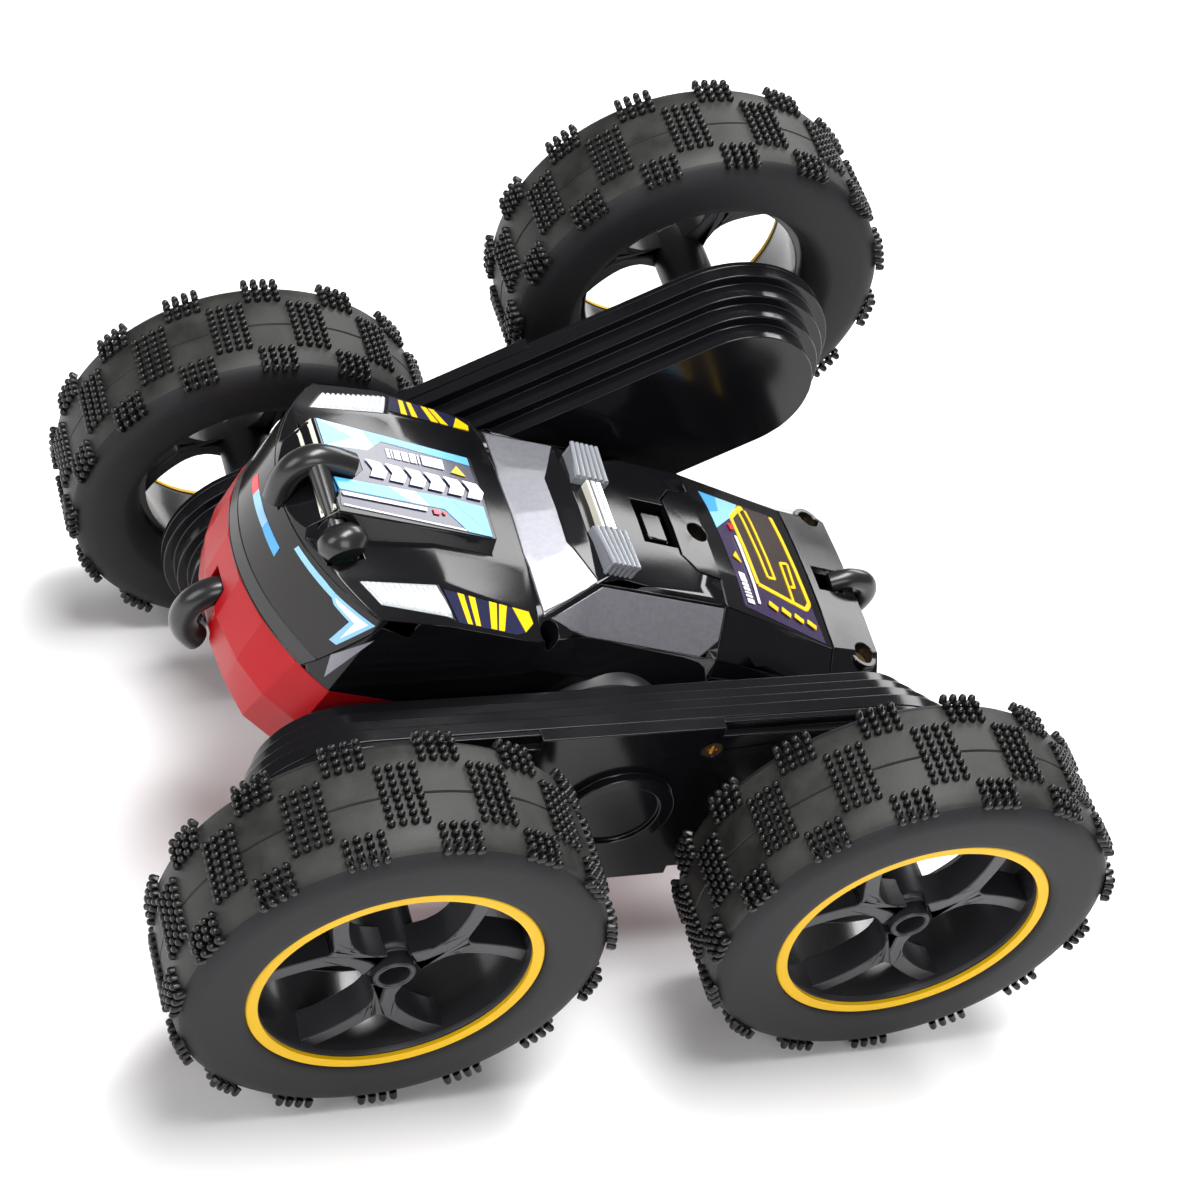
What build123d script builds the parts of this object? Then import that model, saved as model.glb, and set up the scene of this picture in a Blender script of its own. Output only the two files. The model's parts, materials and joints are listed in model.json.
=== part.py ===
"""Radio-controlled stunt car: a body hung between two twisting twin-wheel arms.

Every piece is modelled in the frame of what carries it, and is then set in the
standing car. The body and arm frames have +X forward, +Y to the car's left and
their origin where the arms' pivot axis crosses the middle of the body. The car
stands on its front-left, rear-left and front-right wheels, +Z up.
"""

import os
from math import cos, radians, sin

from build123d import *

os.makedirs("parts", exist_ok=True)

# ---- stance ---------------------------------------------------------------
STAND_LEAN = -10.88         # turn of the whole car about +X that brings three tyres to the floor
BODY_TURN = -18.0           # body about the pivot axis, nose up
RIGHT_ARM_TURN = 32.57      # right arm about the pivot axis, front wheel down
STAND_HEIGHT = 69.915       # pivot axis above the floor, at the middle of the body
STAND_SIDE = 3.2            # the wheels' box is centred this far to the right of the body

# ---- wheels ---------------------------------------------------------------
HALF_BASE = 63.0            # pivot axis to each axle
RING_PLANE = 101.9          # middle of the car to the rim's outer face
TYRE_IN = 70.4              # inner sidewall
TYRE_OUT = 102.9            # outer sidewall
TYRE_MID = (TYRE_IN + TYRE_OUT) / 2
CROWN_R = 49.3              # tread base, middle
SHOULDER_R = 48.8           # tread base, edge
BLOCK_R = 51.6              # top of the tread blocks
RIM_SEAT_R = 32.0           # rim barrel, outside
RING_R = 33.5               # coloured ring, outside
RING_IN_R = 31.0
HUB_R = 7.0
HUB_FACE = 96.4
TUBE_R = 4.9                # tube that stands out of the hub
TUBE_FACE = 100.3
HUB_HOLE_R = 3.6
SPOKE_BACK = 90.6
SPOKE_FACE = 98.4
AXLE_R = 2.0
TREAD_COUNT = 15
TREAD_STEP = 360 / TREAD_COUNT

# ---- arms -----------------------------------------------------------------
ARM_FACE = 40.0             # inner flat face
ARM_SPLIT = 57.0            # joint between inner and outer shell
ARM_OUT = 60.4              # outer wall
ARM_R = 28.5                # widest step, about each axle
STEP_DROP = 2.7             # each step is this much smaller
STEP_RISE = 4.5             # and this much further inboard
STEP_TOP = 53.5             # inboard end of the widest step
WALL = 2.0
AXLE_BOSS_OUT = 73.0
PIVOT_BOSS_R = 14.0
PIVOT_DISC_R = 10.5
SPINDLE_R = 12.5
SPINDLE_IN = 29.0
MOTOR_R = 10.0
MOTOR_FRONT = 51.2
MOTOR_BACK = 31.2
RUNNING = 0.05              # radial clearance of a shaft in its bearing

# ---- gears ----------------------------------------------------------------
MODULE = 1.0
PINION_TEETH = 8
BIG_TEETH = 36
SMALL_TEETH = 12
IDLER_TEETH = 16
WHEEL_TEETH = 38
COMPOUND_AT = (PINION_TEETH + BIG_TEETH) * MODULE / 2
IDLER_AT = COMPOUND_AT + (SMALL_TEETH + IDLER_TEETH) * MODULE / 2
PIN_R = 1.5
OUTER_LAYER = (54.4, 57.4)  # pinion and the compound's big gear
INNER_LAYER = (48.6, 53.6)  # compound's small gear, idler and wheel gear
PIN_FOOT = 48.0             # end of the posts that the gear pins stand on

# ---- body -----------------------------------------------------------------
NOSE_R = 50.8               # plan radius of the nose
NOSE_AT = 37.2              # its centre
BODY_WALL = 2.0
BEARING_R = 16.0
BEARING_IN = 30.0
BEARING_OUT = 37.6
SEAM_GAP = 0.3

stand = Location((0, STAND_SIDE, STAND_HEIGHT), (STAND_LEAN, 0, 0))
body_frame = stand * Location((0, 0, 0), (0, BODY_TURN, 0))
arm_frames = {
    "left": stand,
    "right": stand * Location((0, 0, 0), (0, RIGHT_ARM_TURN, 0)),
}
ends = {"front": 1, "rear": -1}


def finish(builder, label, frame):
    """Name a finished piece, set it in the standing car and write its file."""
    builder.part.label = label
    builder.part.locate(frame)
    export_step(builder.part, f"parts/{label}.step")


def outward(y):
    """Plane across the car at y, facing left, with its first axis forward."""
    return Plane(origin=(0, y, 0), x_dir=(1, 0, 0), z_dir=(0, 1, 0))


def flip_for(side):
    """Turn the left-hand piece being built into its right-hand twin."""
    if side == "right":
        mirror(about=Plane.XZ, mode=Mode.REPLACE)


def disc(radius, y0, y1, x=0.0, z=0.0, mode=Mode.ADD):
    """Cylinder across the car from y0 to y1."""
    with BuildSketch(outward(y0)) as outline:
        with Locations((x, -z)):
            Circle(radius)
    extrude(outline.sketch, amount=y1 - y0, mode=mode)


def stadium(radius, y0, y1, mode=Mode.ADD):
    """Long round-ended slab, centred on the two axles."""
    with BuildSketch(outward(y0)) as outline:
        SlotCenterToCenter(2 * HALF_BASE, 2 * radius)
    extrude(outline.sketch, amount=y1 - y0, mode=mode)


def gear(teeth, y0, y1, bore, phase=0.0):
    """Spur gear with straight-sided teeth; phase turns the first tooth from +X."""
    pitch_r = teeth * MODULE / 2
    root_r = pitch_r - 1.2 * MODULE
    tip_r = pitch_r + 0.85 * MODULE
    tooth = [
        (root_r - 0.4, -0.95 * MODULE),
        (pitch_r, -0.6 * MODULE),
        (tip_r, -0.28 * MODULE),
        (tip_r, 0.28 * MODULE),
        (pitch_r, 0.6 * MODULE),
        (root_r - 0.4, 0.95 * MODULE),
    ]
    with BuildSketch(outward(y0)) as outline:
        Circle(root_r)
        with Locations(*[Location((0, 0, 0), (0, 0, phase + 360 * k / teeth)) for k in range(teeth)]):
            Polygon(*tooth, align=None)
        Circle(bore, mode=Mode.SUBTRACT)
    extrude(outline.sketch, amount=y1 - y0)


def stations(sections, mode=Mode.ADD):
    """Faceted hull through cross sections, each an x and its half outline of (y, z) points."""
    outlines = []
    for x, half in sections:
        with BuildSketch(Plane(origin=(x, 0, 0), x_dir=(0, 1, 0), z_dir=(1, 0, 0))) as outline:
            Polygon(*half, *[(-y, z) for y, z in reversed(half) if y > 0], align=None)
        outlines.append(outline.sketch)
    loft(outlines, ruled=True, mode=mode)


def inside(sections, open_z, lift):
    """The hull's sections moved in by the wall: sides by BODY_WALL, skin by lift, open at open_z."""
    moved = []
    for k, (x, half) in enumerate(sections):
        shift = BODY_WALL if k == 0 else -BODY_WALL if k == len(sections) - 1 else 0
        points = [(half[0][0] - BODY_WALL, open_z)]
        points += [(max(y - BODY_WALL, 0), z + lift) for y, z in half[1:]]
        moved.append((x + shift, points))
    return moved


# ===========================================================================
# Wheels
# ===========================================================================

with BuildPart() as tyre_master:
    with BuildSketch(Plane.XY):
        with BuildLine():
            Polyline(
                (RIM_SEAT_R, 79.0),
                (RIM_SEAT_R, 100.9),
                (RING_R, 100.9),
                (RING_R, RING_PLANE),
                (34.8, TYRE_OUT),
                (46.4, TYRE_OUT),
                (SHOULDER_R, 100.6),
                (CROWN_R, TYRE_MID),
                (SHOULDER_R, 72.7),
                (46.4, TYRE_IN),
                (34.0, TYRE_IN),
                (29.2, 77.0),
                (29.2, 79.0),
                close=True,
            )
        make_face()
        # air chamber, open to the rim between the two beads
        with BuildLine():
            Polyline((31, 84), (35, 74.6), (45.6, 74.6), (45.6, 98.6), (35, 98.6), (31, 96), close=True)
        make_face(mode=Mode.SUBTRACT)
    revolve(axis=Axis.Y)
    for k in range(TREAD_COUNT):
        edge_turn = k * TREAD_STEP - TREAD_STEP / 4
        middle_turn = edge_turn + TREAD_STEP / 2
        for turn, spans in (
            (edge_turn, ((71.4, 78.8), (94.5, 101.9))),
            (middle_turn, ((79.4, 93.9),)),
        ):
            for y0, y1 in spans:
                with BuildSketch(Plane.XY.rotated((0, turn, 0))):
                    with BuildLine():
                        Polyline((47.5, y0), (BLOCK_R - 0.5, y0), (BLOCK_R, y1), (47.5, y1), close=True)
                    make_face()
                revolve(axis=Axis.Y, revolution_arc=TREAD_STEP / 2)


with BuildPart() as rim_master:
    with BuildSketch(Plane.XY):
        with BuildLine():
            Polyline(
                (RIM_SEAT_R, 79.0),
                (RIM_SEAT_R, 100.9),
                (30.9, 100.9),
                (28.4, 79.0),
                close=True,
            )
        make_face()
    revolve(axis=Axis.Y)
    disc(HUB_R, 74.0, HUB_FACE)
    disc(TUBE_R, HUB_FACE, TUBE_FACE)
    with BuildSketch(outward(SPOKE_BACK)):
        with Locations(*[Location((0, 0, 0), (0, 0, 120 * k + 90)) for k in range(3)]):
            Polygon((5, -3.4), (17, -2.9), (17, 2.9), (5, 3.4), align=None)
            Polygon((14.5, -2.9), (18.5, 2.6), (28.6, 15.6), (31.2, 11.0), (20.5, -1.0), align=None)
            Polygon((14.5, 2.9), (18.5, -2.6), (28.6, -15.6), (31.2, -11.0), (20.5, 1.0), align=None)
        Circle(31.0, mode=Mode.INTERSECT)
    extrude(amount=SPOKE_FACE - SPOKE_BACK)
    disc(HUB_HOLE_R, 89.6, TUBE_FACE, mode=Mode.SUBTRACT)
    disc(AXLE_R, 74.0, 89.6, mode=Mode.SUBTRACT)

with BuildPart() as ring_master:
    with BuildSketch(outward(100.9)):
        Circle(RING_R)
        Circle(RING_IN_R, mode=Mode.SUBTRACT)
    extrude(amount=RING_PLANE + 0.2 - 100.9)

with BuildPart() as axle_master:
    disc(AXLE_R, ARM_FACE + WALL + 0.4, 90.4)
    disc(AXLE_R + 1.2, 89.6, 91.0)

with BuildPart() as wheel_gear_master:
    gear(WHEEL_TEETH, *INNER_LAYER, AXLE_R)

wheel_pieces = {
    "tyre": tyre_master,
    "rim": rim_master,
    "trim_ring": ring_master,
    "axle": axle_master,
    "wheel_gear": wheel_gear_master,
}

for side, arm_frame in arm_frames.items():
    for end, sign in ends.items():
        for piece, master in wheel_pieces.items():
            with BuildPart() as wheel_piece:
                add(master.part)
                flip_for(side)
            finish(wheel_piece, f"{piece}_{end}_{side}", arm_frame * Location((sign * HALF_BASE, 0, 0)))

# ===========================================================================
# Gear trains: pinion, compound, idler, wheel gear, mirrored front to rear
# ===========================================================================

for side, arm_frame in arm_frames.items():
    with BuildPart() as pinion:
        gear(PINION_TEETH, *OUTER_LAYER, bore=1.0)
        flip_for(side)
    finish(pinion, f"pinion_{side}", arm_frame)

    for end, sign in ends.items():
        turn = Location((0, 0, 0), (0, 0, 0)) if sign > 0 else Location((0, 0, 0), (0, 180, 0))
        with BuildPart() as compound_gear:
            gear(BIG_TEETH, *OUTER_LAYER, PIN_R + RUNNING, phase=180 / BIG_TEETH)
            disc(SMALL_TEETH * MODULE / 2 - 1.2, INNER_LAYER[1], OUTER_LAYER[0])
            gear(SMALL_TEETH, *INNER_LAYER, PIN_R + RUNNING)
            disc(PIN_R + RUNNING, INNER_LAYER[1], OUTER_LAYER[0], mode=Mode.SUBTRACT)
            flip_for(side)
        finish(
            compound_gear,
            f"compound_gear_{end}_{side}",
            arm_frame * turn * Location((COMPOUND_AT, 0, 0)),
        )
        with BuildPart() as idler_gear:
            gear(IDLER_TEETH, *INNER_LAYER, PIN_R + RUNNING, phase=180 / IDLER_TEETH)
            flip_for(side)
        finish(idler_gear, f"idler_gear_{end}_{side}", arm_frame * turn * Location((IDLER_AT, 0, 0)))

# ===========================================================================
# Arms: two shells each, with the motor lying in the pivot spindle
# ===========================================================================

SCREW_SPOTS = [(-19.0, 20.4), (19.0, -20.4)]

for side, arm_frame in arm_frames.items():
    with BuildPart() as inner_shell:
        for step in range(4):
            radius = ARM_R - STEP_DROP * step
            low = STEP_TOP - STEP_RISE * step
            stadium(radius, low, low + STEP_RISE if step else ARM_SPLIT)
        disc(BEARING_R, 38.2, ARM_FACE)
        disc(SPINDLE_R, SPINDLE_IN, 38.2)
        # cavity, stepped like the outside
        for step in range(4):
            low = STEP_TOP - STEP_RISE * step + WALL
            stadium(ARM_R - STEP_DROP * step - WALL, low, ARM_SPLIT, mode=Mode.SUBTRACT)
        disc(MOTOR_R, SPINDLE_IN, ARM_FACE + WALL, mode=Mode.SUBTRACT)
        # fixed pins that carry the gears, and the axle's inner bearing
        for sign in ends.values():
            for spot, pin_end in ((COMPOUND_AT, OUTER_LAYER[1] + 0.3), (IDLER_AT, INNER_LAYER[1] + 0.3)):
                disc(3.0, ARM_FACE + WALL, PIN_FOOT, x=sign * spot)
                disc(PIN_R, PIN_FOOT, pin_end, x=sign * spot)
            disc(4.5, ARM_FACE + WALL, PIN_FOOT, x=sign * HALF_BASE)
            disc(AXLE_R + RUNNING, ARM_FACE + WALL, PIN_FOOT, x=sign * HALF_BASE, mode=Mode.SUBTRACT)
        flip_for(side)
    finish(inner_shell, f"arm_inner_shell_{side}", arm_frame)

    with BuildPart() as outer_shell:
        stadium(ARM_R, ARM_SPLIT, ARM_SPLIT + 1.6)
        stadium(ARM_R - 3.0, ARM_SPLIT + 1.6, ARM_OUT)
        for sign in (-1, 1):
            with Locations((2.0, ARM_SPLIT + 1.7, sign * (ARM_R - 1.6))):
                Box(45, 3.4, 3.6)
        disc(PIVOT_BOSS_R, ARM_OUT, 62.6)
        stadium(ARM_R - WALL - 3.0, ARM_SPLIT, ARM_OUT - 1.8, mode=Mode.SUBTRACT)
        disc(PIVOT_BOSS_R - 1.8, ARM_OUT - 1.8, 60.6, mode=Mode.SUBTRACT)
        disc(PIVOT_DISC_R, 61.6, 62.6, mode=Mode.SUBTRACT)
        for x, z in SCREW_SPOTS:
            disc(3.4, OUTER_LAYER[1] + 0.3, ARM_OUT, x=x, z=z)
            disc(1.2, ARM_SPLIT, ARM_OUT, x=x, z=z, mode=Mode.SUBTRACT)
            disc(2.5, ARM_OUT - 1.4, ARM_OUT, x=x, z=z, mode=Mode.SUBTRACT)
        for sign in ends.values():
            disc(7.0, ARM_OUT - 1.8, AXLE_BOSS_OUT, x=sign * HALF_BASE)
            disc(AXLE_R + RUNNING, ARM_SPLIT, AXLE_BOSS_OUT, x=sign * HALF_BASE, mode=Mode.SUBTRACT)
        flip_for(side)
    finish(outer_shell, f"arm_outer_shell_{side}", arm_frame)

    with BuildPart() as motor:
        disc(MOTOR_R, MOTOR_BACK, MOTOR_FRONT)
        disc(MOTOR_R - 0.6, SPINDLE_IN + 0.4, MOTOR_BACK)
        for flat in (-1, 1):
            with Locations((0, (MOTOR_BACK + MOTOR_FRONT) / 2, flat * (MOTOR_R - 0.6))):
                Box(2 * MOTOR_R, MOTOR_FRONT - MOTOR_BACK - 4, 2.0, mode=Mode.SUBTRACT)
        disc(3.0, MOTOR_FRONT, MOTOR_FRONT + 1.5)
        disc(1.0, MOTOR_FRONT + 1.5, OUTER_LAYER[1] + 0.6)
        flip_for(side)
    finish(motor, f"motor_{side}", arm_frame)

    with BuildPart() as arm_screws:
        for x, z in SCREW_SPOTS:
            disc(2.5, ARM_OUT - 1.4, ARM_OUT - 0.2, x=x, z=z)
            disc(1.2, ARM_SPLIT, ARM_OUT - 1.4, x=x, z=z)
            for width, depth in ((2.8, 0.7), (0.7, 2.8)):
                with Locations((x, ARM_OUT - 0.4, z)):
                    Box(width, 0.8, depth, mode=Mode.SUBTRACT)
        flip_for(side)
    finish(arm_screws, f"arm_screws_{side}", arm_frame)

# ===========================================================================
# Body shells: two faceted hulls that meet at z = 0
# ===========================================================================

UPPER_STATIONS = [
    (-76.0, [(30.0, 0), (30.0, 13.0), (29.8, 24.0), (22.0, 28.8), (11.0, 29.3), (0, 29.4)]),
    (-61.0, [(32.0, 0), (31.5, 14.0), (31.0, 22.0), (23.0, 28.6), (11.0, 29.4), (0, 29.6)]),
    (-24.0, [(35.0, 0), (34.5, 16.0), (30.9, 25.0), (21.5, 34.6), (11.0, 36.2), (0, 36.5)]),
    (14.0, [(36.6, 0), (36.0, 17.0), (31.0, 25.0), (22.0, 34.4), (11.0, 36.4), (0, 36.8)]),
    (29.0, [(37.4, 0), (37.0, 18.0), (35.4, 25.2), (28.8, 27.2), (16.0, 29.4), (0, 30.0)]),
    (55.0, [(37.4, 0), (37.4, 17.0), (36.6, 26.6), (26.0, 29.4), (16.8, 29.8), (0, 30.0)]),
    (80.0, [(37.4, 0), (37.2, 14.0), (36.6, 23.4), (26.0, 25.0), (16.8, 27.0), (0, 27.4)]),
    (90.0, [(37.4, 0), (37.2, 12.0), (36.0, 21.4), (26.0, 20.6), (16.8, 20.6), (0, 20.8)]),
]
HOOD_STATIONS = [
    (38.6, [(17.0, 26.0), (12.8, 33.0), (0, 33.3)]),
    (81.5, [(18.4, 22.0), (14.4, 33.8), (0, 34.2)]),
    (87.0, [(16.0, 18.0), (12.6, 22.4), (0, 22.8)]),
]
LOWER_STATIONS = [
    (-76.0, [(30.0, 0), (29.0, -7.0), (26.0, -13.0), (0, -13.0)]),
    (-56.0, [(32.4, 0), (31.0, -14.0), (27.0, -28.0), (0, -28.0)]),
    (0.0, [(36.2, 0), (35.0, -14.0), (29.5, -28.0), (0, -28.0)]),
    (63.0, [(37.4, 0), (36.2, -14.0), (30.0, -28.0), (0, -28.0)]),
    (90.0, [(37.4, 0), (36.6, -10.0), (30.0, -24.0), (0, -24.0)]),
]
BUMPER_RINGS = [            # each a z and its (angle from ahead, radius) corners
    (1.0, [(8, 51.2), (22, 51.2), (36, 51.2), (50, 51.2), (85, 45.0)]),
    (-14.0, [(8, 50.2), (22, 50.8), (34, 51.2), (50, 50.0), (85, 45.0)]),
    (-29.0, [(8, 44.4), (20, 45.6), (31, 47.4), (48, 43.6), (85, 45.0)]),
]
NOSE_NOTCH = [(-7.4, -31.0), (-4.4, -13.0), (-2.0, -9.6), (1.4, -11.0), (7.0, -31.0)]
ROOF_REAR = -24.4           # front line of the battery door
TONGUE = (-14.0, 9.0)       # its tongue: front edge and half width
DOOR_REAR = -61.0
DOOR_LOW = 21.0
LENS_TOP = (24.6, 20.9)     # at the lens's rear end and far ahead of the nose
LENS_LOW = 4.6
BAND_LOW = 0.4
BELLY = -28.0
REAR_HOLES = [(-71.4, -22.4), (-71.4, 22.4)]
FENDER_HOLES = [(25.7, -32.5), (25.7, 32.5)]
POSTS = [(x, y) for x in (-46.0, 46.0) for y in (-20.0, 20.0)]
BOARD_POSTS = [(x, y) for x in (14.0, 54.0) for y in (-19.0, 19.0)]
DOOR_SCREW = (-21.6, 0.0)
SWITCH_AT = (-30.0, 0.0)
SWITCH_TRAVEL = 4.0
TRAY_TOP = -13.0            # chassis plate, upper face
LOOP_R = 3.4


def nose_envelope(low_r, high_r, z0, z1):
    """What a nose rounded in plan keeps: a cone about the nose centre and all that lies behind."""
    with BuildPart() as keep:
        with Locations((NOSE_AT, 0, z0)):
            Cone(low_r, high_r, z1 - z0, align=(Align.CENTER, Align.CENTER, Align.MIN))
            Box(120, 90, z1 - z0, align=(Align.MAX, Align.CENTER, Align.MIN))
    return keep.part


def bumper_envelope(inset):
    """What the faceted bumper keeps: flats between rings of corners about the nose centre."""
    levels = []
    for z, corners in BUMPER_RINGS:
        half = [
            (NOSE_AT + (r - inset) * cos(radians(angle)), (r - inset) * sin(radians(angle)))
            for angle, r in corners
        ]
        with BuildSketch(Plane.XY.offset(z)) as ring:
            Polygon((-90, 45), (-90, -45), *[(x, -y) for x, y in reversed(half)], *half, align=None)
        levels.append(ring.sketch)
    with BuildPart() as keep:
        loft(levels, ruled=True)
    return keep.part


def slab(points, z0, z1, mode=Mode.ADD):
    """Upright slab over a plan outline."""
    with BuildSketch(Plane.XY.offset(z0)) as outline:
        Polygon(*points, align=None)
    extrude(outline.sketch, amount=z1 - z0, mode=mode)


def across(points, half_width, mode=Mode.ADD):
    """Slab across the car over a side outline of (x, z) points."""
    with BuildSketch(Plane.XZ) as outline:
        Polygon(*points, align=None)
    extrude(outline.sketch, amount=half_width, both=True, mode=mode)


def mirrored(points):
    """The same plan outline on the right-hand side."""
    return [(x, -y) for x, y in reversed(points)]


upper_nose = nose_envelope(51.0, 49.4, -1, 40)
upper_nose_core = nose_envelope(51.0 - BODY_WALL, 49.4 - BODY_WALL, -1, 40)
lower_nose = bumper_envelope(0.0)
lower_nose_core = bumper_envelope(BODY_WALL)

with BuildPart() as upper_form:
    stations(UPPER_STATIONS)
    stations(HOOD_STATIONS)
    add(upper_nose, mode=Mode.INTERSECT)

with BuildPart() as upper_core:
    stations(inside(UPPER_STATIONS, -0.5, -BODY_WALL))
    add(upper_nose_core, mode=Mode.INTERSECT)

with BuildPart() as lower_form:
    stations(LOWER_STATIONS)
    add(lower_nose, mode=Mode.INTERSECT)

with BuildPart() as lower_core:
    stations(inside(LOWER_STATIONS, 0.5, BODY_WALL))
    add(lower_nose_core, mode=Mode.INTERSECT)

WINDSCREEN = [
    (13.6, 21.6), (19.0, 10.0), (19.0, -10.0), (13.6, -21.6),
    (27.2, -29.0), (29.0, -12.0), (29.0, 12.0), (27.2, 29.0),
]
SIDE_GLASS = [(12.4, 22.4), (25.4, 29.4), (19.6, 30.9), (-18.6, 30.9), (-23.6, 27.6), (-23.6, 22.0)]
HEADLIGHT = [(56.6, 26.8), (53.0, 34.4), (70.6, 32.4), (75.0, 26.8)]
LAMP = [(3.6, 7.6), (3.0, 19.6), (12.0, 19.0), (14.2, 7.6)]
DOOR = [
    (DOOR_REAR, -40), (DOOR_REAR, 40), (ROOF_REAR, 40), (ROOF_REAR, 14.0),
    (-17.6, 13.0), TONGUE, (TONGUE[0], -TONGUE[1]), (-17.6, -13.0),
    (ROOF_REAR, -14.0), (ROOF_REAR, -40),
]


def inlay(outlines, depth):
    """Pieces of the upper form's skin, depth thick, over plan outlines."""
    for points in outlines:
        slab(points, 15, 42)
    add(upper_form.part, mode=Mode.INTERSECT)
    add(upper_form.part.moved(Location((0, 0, -depth))), mode=Mode.SUBTRACT)


with BuildPart() as windscreen_panel:
    inlay([WINDSCREEN, SIDE_GLASS, mirrored(SIDE_GLASS)], 1.4)

with BuildPart() as headlight_lenses:
    inlay([HEADLIGHT, mirrored(HEADLIGHT)], 3.0)

with BuildPart() as hood_guard:
    with BuildLine(Plane.XZ) as hoop_line:
        Line((87.6, 20.0), (88.6, 29.0))
        ThreePointArc((88.6, 29.0), (86.6, 33.4), (82.0, 35.0))
        Line((82.0, 35.0), (74.8, 34.4))
    with BuildSketch(Plane(origin=(87.6, 0, 20.0), z_dir=(1.0, 0, 9.0))):
        Circle(LOOP_R)
    sweep()
    # single prop from the hoop down to the left of the hood
    with BuildSketch(Plane(origin=(84.0, 2.0, 34.2), z_dir=(-6.0, 19.0, -6.6))):
        Circle(2.4)
    extrude(amount=17.6)
    with BuildSketch(Plane(origin=(79.0, 17.8, 28.7), z_dir=(-6.0, 19.0, -6.6))):
        Circle(4.8)
    extrude(amount=5.0)

with BuildPart() as front_lens:
    across([(69.8, LENS_TOP[0]), (76.0, LENS_LOW), (95, LENS_LOW), (95, LENS_TOP[1])], 45)
    add(upper_form.part, mode=Mode.INTERSECT)
    add(upper_core.part, mode=Mode.SUBTRACT)
    add(headlight_lenses.part, mode=Mode.SUBTRACT)
    add(hood_guard.part, mode=Mode.SUBTRACT)

with BuildPart() as front_band:
    across([(76.0, LENS_LOW), (77.6, BAND_LOW), (95, BAND_LOW), (95, LENS_LOW)], 45)
    add(upper_form.part, mode=Mode.INTERSECT)
    add(upper_core.part, mode=Mode.SUBTRACT)

with BuildPart() as battery_door:
    slab(DOOR, DOOR_LOW, 42)
    add(upper_form.part, mode=Mode.INTERSECT)
    add(upper_form.part.moved(Location((0, 0, -BODY_WALL))), mode=Mode.SUBTRACT)
    with Locations((*DOOR_SCREW, 29.0)):
        Cylinder(4.0, 6.0, align=(Align.CENTER, Align.CENTER, Align.MIN))
    with Locations((*DOOR_SCREW, 30.6)):
        Cylinder(2.8, 10.0, align=(Align.CENTER, Align.CENTER, Align.MIN), mode=Mode.SUBTRACT)
    with Locations((*DOOR_SCREW, 28.0)):
        Cylinder(1.3, 10.0, align=(Align.CENTER, Align.CENTER, Align.MIN), mode=Mode.SUBTRACT)

with BuildPart() as battery_door_screw:
    with Locations((*DOOR_SCREW, 30.6)):
        Cylinder(2.6, 1.6, align=(Align.CENTER, Align.CENTER, Align.MIN))
    with Locations((*DOOR_SCREW, 24.0)):
        Cylinder(1.2, 6.6, align=(Align.CENTER, Align.CENTER, Align.MIN))
    for length, width in ((3.0, 0.7), (0.7, 3.0)):
        with Locations((*DOOR_SCREW, 31.8)):
            Box(length, width, 1.0, mode=Mode.SUBTRACT)

with BuildPart() as nose_hook:
    with BuildLine(Plane.XZ) as hook_line:
        ThreePointArc((84.0, -11.0), (90.4, -20.0), (83.0, -29.4))
    with BuildSketch(Plane(origin=(84.0, 0, -11.0), z_dir=(1.0, 0, -0.15))):
        Circle(LOOP_R)
    sweep()

with BuildPart() as tail_hook:
    with BuildLine(Plane.XZ) as tail_line:
        ThreePointArc((-69.0, 28.0), (-81.0, 30.0), (-78.0, 18.6))
    with BuildSketch(Plane(origin=(-69.0, 0, 28.0), z_dir=(-1.0, 0, 0.75))):
        Circle(LOOP_R - 0.6)
    sweep()

with BuildPart() as upper_shell:
    add(upper_form.part)
    add(upper_core.part, mode=Mode.SUBTRACT)
    for piece in (windscreen_panel, headlight_lenses, front_lens, front_band):
        add(piece.part, mode=Mode.SUBTRACT)
    # opening under the battery door
    with BuildSketch(Plane.XY.offset(DOOR_LOW - SEAM_GAP)):
        Polygon(*DOOR, align=None)
        offset(amount=SEAM_GAP, kind=Kind.INTERSECTION)
    extrude(amount=30, mode=Mode.SUBTRACT)
    # latch pocket
    slab([(-13.4, -8.0), (-2.6, -8.0), (-2.6, 8.0), (-13.4, 8.0)], 29.8, 35.2)
    slab([(-14.5, -6.8), (-3.6, -6.8), (-3.6, 6.8), (-14.5, 6.8)], 31.5, 42, mode=Mode.SUBTRACT)
    # round opening for the pivot bearings
    disc(BEARING_R + 0.6, -45, 45, mode=Mode.SUBTRACT)
    for x, y in REAR_HOLES:
        with Locations((x, y, 22)):
            Cylinder(4.2, 6.0, align=(Align.CENTER, Align.CENTER, Align.MIN))
        with Locations((x, y, 24)):
            Cylinder(2.7, 12.0, align=(Align.CENTER, Align.CENTER, Align.MIN), mode=Mode.SUBTRACT)
    for x, y in FENDER_HOLES:
        with Locations((x, y, 20)):
            Cylinder(2.6, 12.0, align=(Align.CENTER, Align.CENTER, Align.MIN), mode=Mode.SUBTRACT)
    # slots for the tail hook, and seats for both loops
    with Locations((-68.0, 0, 29.0), (-76.0, 0, 21.5)):
        Box(8.0, 2 * LOOP_R + 0.6, 9.0, mode=Mode.SUBTRACT)
    add(hood_guard.part, mode=Mode.SUBTRACT)
    add(tail_hook.part, mode=Mode.SUBTRACT)

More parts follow.
